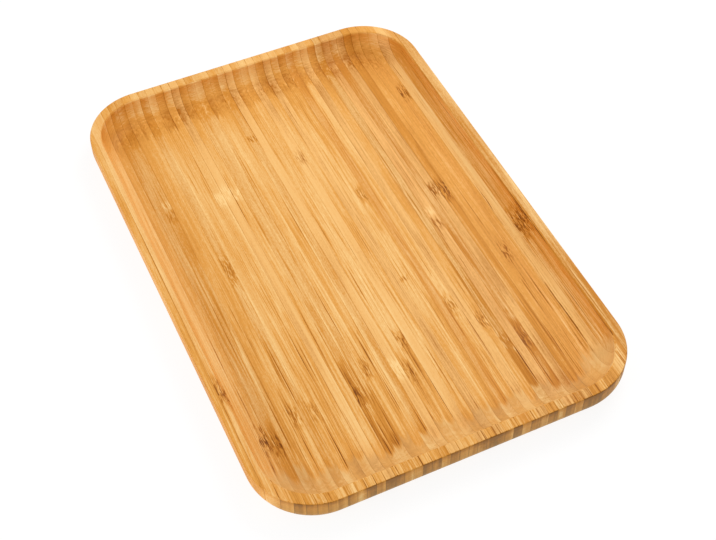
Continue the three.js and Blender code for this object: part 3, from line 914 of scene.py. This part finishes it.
def saw_strip(name, tree, inputs):
    """Run the tree for one strip and keep its result as a plain mesh object."""
    piece = bpy.data.objects.new(f"{name}_bamboo", bpy.data.meshes.new(name))
    bpy.context.scene.collection.objects.link(piece)
    modifier = piece.modifiers.new("board_strip", "NODES")
    modifier.node_group = tree
    for socket in tree.interface.items_tree:
        if socket.in_out == "INPUT":
            modifier[socket.identifier] = inputs[socket.name]
    graph = bpy.context.evaluated_depsgraph_get()
    mesh = bpy.data.meshes.new_from_object(piece.evaluated_get(graph))
    piece.modifiers.clear()
    piece.data = mesh
    return piece


def mark(mesh, name, value):
    """Store a number or a triple of numbers on all of a mesh, for its material to read."""
    triple = isinstance(value, (tuple, list))
    attribute = mesh.attributes.new(name, "FLOAT_VECTOR" if triple else "FLOAT", "POINT")
    values = list(value) if triple else [value]
    attribute.data.foreach_set("vector" if triple else "value", values * len(mesh.vertices))


def mark_bamboo(mesh, strip, draw):
    """Store the facts of one strip's bamboo on its mesh."""
    knuckles = (strip.knuckles + (PLAIN_KNUCKLE,) * MARKS_PER_STRIP)[:MARKS_PER_STRIP]
    stains = (strip.stains + (PLAIN_STAIN,) * MARKS_PER_STRIP)[:MARKS_PER_STRIP]
    mark(mesh, "shade", PLAIN_SHADE + strip.shade)
    mark(mesh, "warmth", strip.warmth)
    mark(mesh, "fibre", strip.fibre)
    mark(mesh, "knuckle_place", [place for place, reach, depth in knuckles])
    mark(mesh, "knuckle_reach", [reach for place, reach, depth in knuckles])
    mark(mesh, "knuckle_depth", [depth for place, reach, depth in knuckles])
    mark(mesh, "stain_side", [side for *stretch, side, fade in stains])
    mark(mesh, "stain_fade", [fade for *stretch, side, fade in stains])
    for number, (*stretch, side, fade) in enumerate(stains, 1):
        mark(mesh, f"stain_{number}", stretch)
    mark(mesh, "grain_shift", [draw.uniform(-GRAIN_SPREAD, GRAIN_SPREAD) for _ in "xyz"])
    mark(mesh, "skin_side", draw.choice([-1.0, 1.0]))
    mark(mesh, "seam", draw.uniform(SEAM_FAINTEST, SEAM_BOLDEST))
    mark(mesh, "end_shade", draw.uniform(END_PALEST, END_DARKEST))
    mark(mesh, "dive", draw.uniform(-DIVE_SPREAD, DIVE_SPREAD))


class TRAY_OT_strips(bpy.types.Operator):
    """Make every strip of the tray's board, with its own bamboo"""

    bl_idname = "tray.strips"
    bl_label = "Make the strips"

    def execute(self, context):
        sizes = context.scene.tray_sizes
        tones = context.scene.bamboo_tones
        tree = board_strip_tree()
        draw = random.Random(GRAIN_SEED)
        slots = {part["node"]: part["material_slot"] for part in frame["record"]["subparts"]}
        bodies = {"bamboo_straw": tones.straw, "bamboo_honey": tones.honey,
                  "bamboo_amber": tones.amber, "bamboo_toffee": tones.toffee}
        finishes = {slot: bamboo(slot, body, tones, sizes) for slot, body in bodies.items()}
        inputs = {name: getattr(sizes, name.lower().replace(" ", "_"))
                  for name in SECTION_SIZES + STEP_COUNTS}
        for name in sorted(slots, key=lambda node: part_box(node)[0].x):
            low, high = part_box(name)
            inputs.update({"Left Seam": low.x, "Right Seam": high.x, "Finish": finishes[slots[name]]})
            piece = saw_strip(name, tree, inputs)
            if not piece.data.polygons:
                raise RuntimeError(f"{name} came out empty")
            mark_bamboo(piece.data, STRIPS.get(name, Strip()), draw)
            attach(piece, "root")
            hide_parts(name)
        return {"FINISHED"}


# Stage

# Places and sizes are in metres
FLOOR_SIDE = 12.0
FLOOR_DROP = 0.2 * MM       # keeps the floor clear of the tray's underside
FLOOR_SHADE = 0.16          # share of the lamps' light that the floor gives back
FLOOR_GLOW = 0.87           # share of the floor's white that shadows don't take away
FAR_GLOW = 0.93             # the same past the reach of the lamps
NEAR_REACH, FAR_REACH = 0.5, 1.2            # distances from the tray's middle between which that reach ends
KEY_PLACE = (0.6, 0.4, 0.75)
FILL_PLACE = (-0.95, -0.25, 0.4)
LAMP_SIDE = 0.6
SENSOR_WIDTH = 36.0         # in millimetres


def paper_floor():
    """White seamless paper, lit from below: white to the eye, and it keeps the tray's soft shadow."""
    material = bpy.data.materials.new("white_paper")
    material.use_nodes = True
    tree = material.node_tree
    tree.nodes.clear()
    paper = add(tree, "ShaderNodeBsdfDiffuse", {"Color": (FLOOR_SHADE, FLOOR_SHADE, FLOOR_SHADE, 1.0)})
    away = add(tree, "ShaderNodeTexCoord").outputs["Object"]
    away = add(tree, "ShaderNodeVectorMath", {0: away}, operation="LENGTH").outputs["Value"]
    glow = add(tree, "ShaderNodeMapRange", {"Value": away, "From Min": NEAR_REACH, "From Max": FAR_REACH,
                                            "To Min": FLOOR_GLOW, "To Max": FAR_GLOW})
    glow = add(tree, "ShaderNodeEmission", {"Strength": glow})
    surface = add(tree, "ShaderNodeAddShader", {0: paper, 1: glow})
    add(tree, "ShaderNodeOutputMaterial", {"Surface": surface})
    return material


def lay_floor():
    """Lay the floor that the tray stands on."""
    side = FLOOR_SIDE / 2
    mesh = bpy.data.meshes.new("floor")
    corners = [(-side, -side, -FLOOR_DROP), (side, -side, -FLOOR_DROP), (side, side, -FLOOR_DROP),
               (-side, side, -FLOOR_DROP)]
    mesh.from_pydata(corners, [], [(0, 1, 2, 3)])
    mesh.materials.append(paper_floor())
    floor = bpy.data.objects.new("floor", mesh)
    bpy.context.scene.collection.objects.link(floor)


def light_stage(stage):
    """Hang a soft key light behind the tray's right side and a fill on its left, in a white surround."""
    for name, place, power in (("key", KEY_PLACE, stage.key_power), ("fill", FILL_PLACE, stage.fill_power)):
        lamp = bpy.data.lights.new(name, "AREA")
        lamp.shape = "SQUARE"
        lamp.size = LAMP_SIDE
        lamp.energy = power
        light = bpy.data.objects.new(name, lamp)
        light.location = place
        light.rotation_euler = (-Vector(place)).to_track_quat("-Z", "Y").to_euler()
        bpy.context.scene.collection.objects.link(light)

    world = bpy.data.worlds.new("white_surround")
    world.use_nodes = True
    tree = world.node_tree
    tree.nodes.clear()
    light = add(tree, "ShaderNodeLightPath").outputs
    sky = add(tree, "ShaderNodeBackground", {"Color": linear("#FFFFFF"), "Strength": stage.sky})
    white = add(tree, "ShaderNodeBackground", {"Color": linear("#FFFFFF"), "Strength": 1.0})
    seen = add(tree, "ShaderNodeMath", {0: light["Is Camera Ray"], 1: light["Is Transmission Ray"]},
               operation="MAXIMUM")
    seen = add(tree, "ShaderNodeMath", {0: seen, 1: light["Is Glossy Ray"]}, operation="MAXIMUM")
    surface = add(tree, "ShaderNodeMixShader", {0: seen, 1: sky, 2: white})
    add(tree, "ShaderNodeOutputWorld", {"Surface": surface})
    bpy.context.scene.world = world


def stand_camera(stage):
    """Stand the camera at the photo's viewing angle."""
    azimuth, elevation = stage.azimuth, stage.elevation
    back = Vector((math.sin(azimuth) * math.cos(elevation), -math.cos(azimuth) * math.cos(elevation),
                   math.sin(elevation)))
    level = Vector((math.cos(azimuth), math.sin(azimuth), 0.0))
    upward = back.cross(level)
    right = level * math.cos(stage.roll) + upward * math.sin(stage.roll)
    up = upward * math.cos(stage.roll) - level * math.sin(stage.roll)
    place = right * stage.slide_right + up * stage.slide_up + back * stage.distance
    lens = bpy.data.cameras.new("camera")
    lens.sensor_width = SENSOR_WIDTH
    lens.lens = stage.lens
    camera = bpy.data.objects.new("camera", lens)
    camera.matrix_world = Matrix.Translation(place) @ Matrix((right, up, back)).transposed().to_4x4()
    bpy.context.scene.collection.objects.link(camera)
    bpy.context.scene.camera = camera


class TRAY_OT_stage(bpy.types.Operator):
    """Lay the floor, hang the light and stand the camera"""

    bl_idname = "tray.stage"
    bl_label = "Set the stage"

    def execute(self, context):
        stage = context.scene.tray_stage
        lay_floor()
        light_stage(stage)
        stand_camera(stage)
        context.scene.view_settings.view_transform = "Standard"
        return {"FINISHED"}


class TRAY_PT_panel(bpy.types.Panel):
    """Sizes, colours and steps of the tray"""

    bl_idname = "TRAY_PT_panel"
    bl_label = "Bamboo tray"
    bl_space_type = "VIEW_3D"
    bl_region_type = "UI"
    bl_category = "Tray"

    def draw(self, context):
        scene = context.scene
        for group in (scene.tray_sizes, scene.bamboo_tones, scene.tray_stage):
            box = self.layout.box()
            for name in group.bl_rna.properties.keys():
                if name not in ("rna_type", "name"):
                    box.prop(group, name)
        self.layout.operator(TRAY_OT_strips.bl_idname)
        self.layout.operator(TRAY_OT_stage.bl_idname)


CLASSES = (TraySizes, BambooTones, TrayStage, TRAY_OT_strips, TRAY_OT_stage, TRAY_PT_panel)


def register():
    for kind in CLASSES:
        bpy.utils.register_class(kind)
    bpy.types.Scene.tray_sizes = PointerProperty(type=TraySizes)
    bpy.types.Scene.bamboo_tones = PointerProperty(type=BambooTones)
    bpy.types.Scene.tray_stage = PointerProperty(type=TrayStage)


def unregister():
    del bpy.types.Scene.tray_stage
    del bpy.types.Scene.bamboo_tones
    del bpy.types.Scene.tray_sizes
    for kind in reversed(CLASSES):
        bpy.utils.unregister_class(kind)


def main():
    register()
    bpy.ops.tray.strips()
    bpy.ops.tray.stage()


if __name__ == "__main__":
    main()
